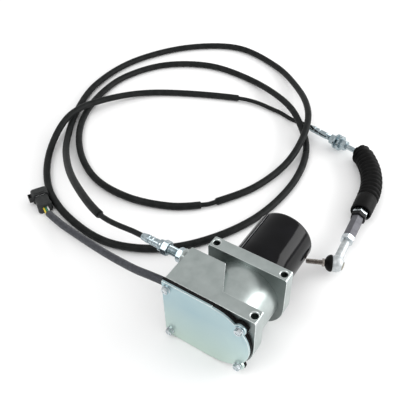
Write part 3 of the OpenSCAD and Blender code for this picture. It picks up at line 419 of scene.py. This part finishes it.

# Gear housing
# One zinc-plated casting: a box for the gears, a round neck, a tapped lug and a D-shaped flange for the can.
# Its faces are satin grey-green as cast, with painted shade on forward faces and painted highlight on broken
# edges.
cast_zinc = surface("cast_zinc", (0.40, 0.447, 0.436), (0.51, 0.56, 0.548), 70, (0.26, 0.42), 0.12, 1300,
                    metal=1.0, spread=(0.3, 0.7))
nodes, links = cast_zinc.node_tree.nodes, cast_zinc.node_tree.links
# Painted shade: faces turned towards -y, such as the flange's inner face, have their colour scaled down to
# 0.45.
facing = nodes.new("ShaderNodeSeparateXYZ")
links.new(nodes["Texture Coordinate"].outputs["Normal"], facing.inputs["Vector"])
painted_front_shade = nodes.new("ShaderNodeMapRange")
painted_front_shade.inputs["From Min"].default_value, painted_front_shade.inputs["From Max"].default_value = -1.0, -0.4
painted_front_shade.inputs["To Min"].default_value, painted_front_shade.inputs["To Max"].default_value = 0.45, 1.0
links.new(facing.outputs["Y"], painted_front_shade.inputs["Value"])
shaded_colour = nodes.new("ShaderNodeVectorMath")
shaded_colour.operation = "SCALE"
links.new(nodes["Color Ramp"].outputs["Color"], shaded_colour.inputs["Vector"])
links.new(painted_front_shade.outputs["Result"], shaded_colour.inputs["Scale"])
links.new(shaded_colour.outputs["Vector"], nodes["Principled BSDF"].inputs["Base Color"])
# Painted highlight: the rounded edges of the housing and the cover take this lighter, smoother zinc.
painted_highlight_zinc = surface("painted_highlight_zinc", (0.66, 0.71, 0.70), (0.80, 0.84, 0.83), 200, (0.22, 0.34), 0.0, 1200,
                    metal=1.0)
dressed("cast_housing", "gear_housing", cast_zinc, 0.5, painted_highlight_zinc)

# Cover, its gasket and its screws
# A pressed steel cover, zinc plated with a bluish tint, on a thick black rubber gasket. Four small hexagon
# screws with washers hold it to the box.
cover_zinc = surface("cover_zinc", (0.38, 0.53, 0.58), (0.46, 0.59, 0.61), 18, (0.30, 0.40), 0.05, 1500,
                     metal=1.0, spread=(0.25, 0.75))
nodes, links = cover_zinc.node_tree.nodes, cover_zinc.node_tree.links
parts = nodes.new("ShaderNodeSeparateXYZ")
height = nodes.new("ShaderNodeMapRange")
height.inputs["From Min"].default_value, height.inputs["From Max"].default_value = 0.005, 0.06
# Towards its bottom the cover turns greener, a tint of the plating, and lighter, a painted reflection.
tint_and_reflection = nodes.new("ShaderNodeMix")
tint_and_reflection.data_type = "RGBA"
share, low, high, mixed = tint_and_reflection.inputs[0], tint_and_reflection.inputs[6], tint_and_reflection.inputs[7], tint_and_reflection.outputs[2]
low.default_value = (0.59, 0.71, 0.65, 1)
links.new(nodes["Texture Coordinate"].outputs["Object"], parts.inputs["Vector"])
links.new(parts.outputs["Z"], height.inputs["Value"])
links.new(height.outputs["Result"], share)
links.new(nodes["Color Ramp"].outputs["Color"], high)
links.new(mixed, nodes["Principled BSDF"].inputs["Base Color"])
dressed("zinc_cover", "cover_plate", cover_zinc, 0.35, painted_highlight_zinc)
gasket_black = surface("gasket_black", (0.004, 0.004, 0.004), (0.009, 0.009, 0.009), 300, (0.55, 0.7), 0.3,
                       1500, specular=0.1)
dressed("rubber_gasket", "cover_gasket", gasket_black, 0.4)
bright_zinc = surface("bright_zinc", (0.50, 0.55, 0.58), (0.70, 0.74, 0.76), 260, (0.16, 0.28), 0.1, 1500,
                      metal=1.0)
hexagon_angle = 45
for name, node in (("cover_screw_set", "cover_screws"), ("cover_washer_set", "cover_washers")):
    dressed(name, node, bright_zinc, 0.2, angle=hexagon_angle)

# Motor can
# A drawn steel can painted gloss black, with its rolled seam standing up along the left of the top.
# A thin black gasket lies between it and the flange, and a bearing cup is pressed into its end.
can_black = surface("can_black", (0.002, 0.002, 0.0025), (0.004, 0.004, 0.005), 40, (0.08, 0.13), 0.02, 700,
                    specular=0.17)
can_at = Vector((0.00825, 0, 0.0425))
can_bend = [(76 + 6 * sin(radians(a)), 26.5 + 6 * cos(radians(a))) for a in range(0, 91, 9)]
can = turned("motor_can_shell", [(6.5, 30.5), (6.5, 32.3), (6.8, 32.5), (30, 32.5), (60, 32.5)] + can_bend
             + [(82, 14.5), (81.3, 13.6), (81.3, 10.2), (82, 9.6), (82, 2.0), (81.6, 1.4)], can_black, 96)
moved(can, can_at, 90, "actuator")
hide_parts("motor_can")
dressed("motor_seal", "motor_gasket", gasket_black, 0.2)

seam_r, seam_from, seam_length, seam_rise = 0.0322, 0.007, 0.069, 1.045
seam_lean, seam_half = radians(130.5), 0.075
bpy.ops.object.select_all(action="DESELECT")
bpy.ops.mesh.primitive_circle_add(vertices=240, radius=seam_r, location=can_at + Vector((0, seam_from, 0)),
                                  rotation=(pi / 2, 0, 0))
seam = bpy.context.object
seam.name = seam.data.name = "can_seam"
bpy.ops.object.transform_apply(location=True, rotation=True, scale=True)
bpy.ops.object.mode_set(mode="EDIT")
bpy.ops.mesh.select_all(action="DESELECT")
bpy.ops.object.mode_set(mode="OBJECT")
for v in seam.data.vertices:
    lean = Vector((v.co.x - can_at.x, v.co.z - can_at.z)).normalized()
    v.select = (lean - Vector((cos(seam_lean), sin(seam_lean)))).length > seam_half
bpy.ops.object.mode_set(mode="EDIT")
bpy.ops.mesh.select_mode(type="VERT")
bpy.ops.mesh.delete(type="VERT")
bpy.ops.mesh.select_all(action="SELECT")
bpy.ops.mesh.extrude_region_move(TRANSFORM_OT_translate={"value": (0, seam_length, 0)})
bpy.ops.mesh.select_all(action="SELECT")
bpy.ops.mesh.extrude_region_move()
bpy.ops.transform.resize(value=(seam_rise, 1, seam_rise), center_override=can_at)
bpy.ops.object.mode_set(mode="OBJECT")
seam_black = surface("seam_black", (0.004, 0.004, 0.005), (0.008, 0.008, 0.009), 40, (0.5, 0.6), 0.05, 700,
                     specular=0.08)
settle(seam, seam_black)
# The seam's rounded edges take a lighter, part-metallic grey.
seam_edge_grey = surface("seam_edge_grey", (0.16, 0.16, 0.17), (0.30, 0.30, 0.31), 300, (0.25, 0.4), 0.1, 900,
                     metal=0.6)
seam.data.materials.append(seam_edge_grey)
lip = seam.modifiers.new("lip", "BEVEL")
lip.width = 0.0004
lip.segments = 2
lip.limit_method = "ANGLE"
lip.material = 1
bpy.ops.object.modifier_apply(modifier="lip")
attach(seam, "actuator")


# Cable fitting at the motor end
# A bright zinc-plated screwed hub through a boss of the left wall, with two hexagon nuts on it,
# and a steel ferrule crimped over the conduit's end. Beside it a rubber grommet holds the harness.
def thread(start, end, radius, pitch=1.0, depth=0.45):
    """Stops of a fine screw thread along x: one crest and one root to each pitch."""
    count = int((end - start) / pitch)
    return [(start + pitch * (i + part), radius - drop) for i in range(count)
            for part, drop in ((0.0, depth), (0.5, 0.0))] + [(end, radius - depth)]


hub_at = (0, -0.0274, 0.0745)
fitting_zinc = surface("fitting_zinc", (0.30, 0.37, 0.40), (0.50, 0.57, 0.60), 260, (0.10, 0.20), 0.1, 1500,
                       metal=1.0)
hub_profile = [(-103.75, 2.9), (-103.75, 3.5), (-103.2, 3.8), (-97, 4.6), (-94.4, 4.6), (-94.0, 4.15),
               (-92.6, 4.15), (-92.2, 4.6), (-89.6, 4.6), (-89.2, 4.15), (-87.8, 4.15), (-87.4, 4.6),
               (-82.2, 4.6), (-81.4, 6.0), (-80.9, 6.2), (-78.4, 6.2), (-77.9, 5.9), (-77.75, 4.6)]
hub = turned("cable_hub", hub_profile + thread(-77.5, -52.25, 4.95, 1.25), fitting_zinc, 36)
moved(hub, hub_at, 0, "actuator")
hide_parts("motor_end_fitting")
hub_nuts = dressed("hub_nuts", "motor_end_locknut", fitting_zinc, 0.25, angle=hexagon_angle)
grommet = dressed("rubber_grommet", "harness_grommet", gasket_black, 0.9)

# Cable fitting at the engine end
# A crimped ferrule and a threaded tube, plated bright zinc. Two hexagon nuts and two washers on its thread
# clamp the plate of a bracket between them.
engine_at = Vector((-0.0735, 0.315, 0.0105))
engine_way = Vector((0.967298, -0.25016, 0.041876))
engine_turn, engine_lift = -14.5, 2.4
tube_length = 0.085
tube_profile = [(0, 2.9), (0, 3.5), (0.6, 3.8), (7, 4.6), (11.6, 4.6), (12, 4.2), (13.6, 4.2), (14, 4.6),
                (19.6, 4.6), (20, 4.2), (21.6, 4.2), (22, 4.6), (32.3, 4.6), (32.9, 3.6)]
tube_profile += thread(33.5, 66.3, 4.0) + [(66.5, 3.4), (1000 * tube_length, 3.4)]
tube = turned("bulkhead_tube", tube_profile, fitting_zinc, 36)
moved(tube, engine_at, engine_turn, "actuator", engine_lift)
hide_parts("engine_end_fitting")
clamp_nuts = dressed("clamp_nuts", "bulkhead_nuts", fitting_zinc, 0.25, angle=hexagon_angle)
clamp_washers = dressed("clamp_washers", "bulkhead_washers", fitting_zinc, 0.3)

# Boot
# A soft black rubber bellows over the bent steel pull wire: a collar, thirteen shallow folds and a smooth
# open cuff. Boot and wire are made straight here and then laid along the bend.
bend_steps = 40
bend_from = engine_at + tube_length * engine_way
boot_line = [bend_from - 0.003 * engine_way, bend_from]
heading, here = engine_turn, bend_from
for radius, swing in ((0.028, 30.5), (0.115, 40.0)):
    middle = here + radius * Vector((sin(radians(heading)), -cos(radians(heading)), 0))
    for i in range(1, bend_steps + 1):
        lean = radians(heading - swing * i / bend_steps)
        boot_line.append(middle + radius * Vector((-sin(lean), cos(lean), 0)))
    heading, here = heading - swing, boot_line[-1]
rod_at, rod_turn = here, heading
rod_way = Vector((cos(radians(rod_turn)), sin(radians(rod_turn)), 0))
boot_line += [rod_at + 0.0288 * rod_way * i / 10 for i in range(1, 11)]
fold_count, folds_from = 13, 6
fold = 94.6 / fold_count
boot_profile = [(0, 3.7), (0, 6.0), (0.4, 6.4), (2.4, 6.4), (2.9, 6.6), (3.4, 9.6), (4.2, 11.6),
                (5.2, 12.5), (folds_from, 12.4)]
for i in range(fold_count):
    boot_profile += [(folds_from + fold * (i + part), r) for part, r in (
        (0.05, 11.3), (0.14, 11.7), (0.28, 13.0), (0.42, 13.65),
        (0.58, 13.65), (0.72, 13.0), (0.86, 11.7), (0.95, 11.3))]
boot_profile += [(100.8, 11.7), (101.5, 12.8), (102.6, 13.2), (112, 13.05), (125.6, 12.8), (126.5, 12.6),
                 (126.9, 12.2), (126.9, 11.2), (126.4, 10.7), (116, 10.6), (112, 10.6), (111, 3.0)]
boot_rubber = surface("boot_rubber", (0.003, 0.003, 0.003), (0.006, 0.006, 0.006), 200, (0.45, 0.6), 0.4,
                      1300, specular=0.10)
boot = turned("bellows", boot_profile, boot_rubber, 48, False, 50)
along_route(boot, boot_line)
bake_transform(boot)
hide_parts("bellows_boot")
steel = surface("gear_steel", (0.40, 0.41, 0.42), (0.52, 0.53, 0.54), 240, (0.24, 0.38), 0.1, 1500, metal=1.0)
wire = turned("boot_pull_wire", [(3.5 + 4 * i, 1.2) for i in range(30)] + [(123.4, 1.1)], steel, 12)
along_route(wire, boot_line)
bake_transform(wire)
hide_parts("boot_wire")

# End rod
# A plated nut in the boot's mouth and a blackened jam nut hold a grey turned hexagon link,
# which a second nut locks to the forged shank of the ball joint.
boot_nut = dressed("mouth_nut", "boot_nut", bright_zinc, 0.3, angle=hexagon_angle)
black_oxide = surface("black_oxide", (0.005, 0.005, 0.006), (0.010, 0.010, 0.011), 260, (0.4, 0.55), 0.1,
                      1400, specular=0.15)
jam_nut = dressed("jam_nut", "black_nut", black_oxide, 0.3, angle=hexagon_angle)
link_grey = surface("link_grey", (0.105, 0.105, 0.118), (0.14, 0.14, 0.155), 150, (0.5, 0.6), 0.12, 1500,
                    metal=0.5, specular=0.3)
link = dressed("hexagon_link", "hex_link", link_grey, 0.4, angle=hexagon_angle)
lock = dressed("lock_nut", "rod_end_locknut", bright_zinc, 0.3, angle=hexagon_angle)
forged_zinc = surface("forged_zinc", (0.46, 0.49, 0.50), (0.64, 0.67, 0.68), 220, (0.42, 0.58), 0.25, 1100,
                      metal=0.8)
dressed("ball_head", "rod_end", forged_zinc, 0.4)
ball_at = rod_at + 0.1193 * rod_way
plug_zinc = surface("plug_zinc", (0.24, 0.225, 0.18), (0.34, 0.32, 0.26), 260, (0.25, 0.4), 0.1, 1300,
                    metal=1.0)
plug_profile = [(7.6, 5.0), (8.5, 4.9), (8.75, 4.6), (8.7, 4.2), (8.4, 3.9), (8.7, 3.5), (9.1, 2.2),
                (9.25, 0.6)]
plug = turned("head_plug", plug_profile, plug_zinc, 32)
moved(plug, ball_at, rod_turn + 90, "end_rod")

# Ball stud and its dust boot
# A plated steel ball stud with a rolled thread, held in the socket of the head. A small black rubber cap
# on the head and on the neck of the stud seals the socket's mouth.
stud_turn = rod_turn - 90 + 20
cap_profile = [(4.4, 8.7), (4.2, 9.1), (4.5, 9.5), (6.0, 9.6), (7.6, 9.2), (9.4, 8.0), (10.8, 6.2),
               (11.6, 4.6), (12.1, 3.6), (12.2, 2.9), (11.9, 2.75), (11.4, 3.2), (10.8, 4.2), (9.8, 5.8),
               (8.4, 7.4), (6.6, 8.4), (4.4, 8.7)]
cap = turned("dust_cap", cap_profile, boot_rubber, 40, True, 50)
cap.data.transform(Matrix.Translation(ball_at) @ Matrix.Rotation(radians(stud_turn), 4, "Z"))
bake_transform(cap)
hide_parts("dust_boot")
stud_zinc = surface("stud_zinc", (0.25, 0.225, 0.205), (0.43, 0.40, 0.375), 300, (0.18, 0.3), 0.1, 1500,
                    metal=1.0)
ball_r = 6
stud_profile = [(ball_r * cos(radians(a)), ball_r * sin(radians(a))) for a in range(174, 30, -8)]
stud_profile += [(5.4, 2.6), (12.4, 2.6), (12.4, 4.3), (12.7, 4.6), (14.7, 4.6), (15.0, 4.3), (15.2, 2.6)]
stud_profile += thread(15.4, 32.4, 3.0) + [(33, 2.2)]
stud = turned("threaded_stud", stud_profile, stud_zinc, 28)
moved(stud, ball_at, stud_turn, "stud")
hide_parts("ball_stud")

# Pieces inside the housing and the can
# Motor, gears, lever and sensor, which show only when the unit is opened: sintered, machined, pressed and
# moulded pieces in plain finishes, each found by the slot that its node has in the record.
inside_finishes = {
    "ferrite": surface("ferrite", (0.03, 0.03, 0.032), (0.05, 0.05, 0.054), 200, (0.6, 0.75), 0.3),
    "brush_board": surface("brush_board", (0.22, 0.12, 0.05), (0.30, 0.17, 0.07), 180, (0.5, 0.6), 0.1),
    "carbon": surface("carbon", (0.02, 0.02, 0.02), (0.035, 0.035, 0.035), 400, (0.55, 0.7), 0.2),
    "bronze": surface("bronze", (0.42, 0.26, 0.10), (0.54, 0.35, 0.15), 300, (0.3, 0.45), 0.15, metal=1.0),
    "gear_steel": steel,
    "lamination": surface("lamination", (0.24, 0.24, 0.25), (0.33, 0.33, 0.34), 500, (0.4, 0.55), 0.2,
                          metal=0.9),
    "copper": surface("copper", (0.45, 0.17, 0.07), (0.60, 0.26, 0.12), 350, (0.25, 0.4), 0.15, metal=1.0),
    "sensor_black": plug_black,
    "sensor_white": surface("sensor_white", (0.55, 0.53, 0.45), (0.66, 0.64, 0.56), 200, (0.4, 0.5), 0.1),
    "zinc_hardware": bright_zinc,
    "cable_black": conduit_black,
}
for part in frame["record"]["subparts"]:
    if part["material_slot"] in inside_finishes:
        shown = frame["nodes"][part["node"]]
        shown.data.materials.clear()
        shown.data.materials.append(inside_finishes[part["material_slot"]])
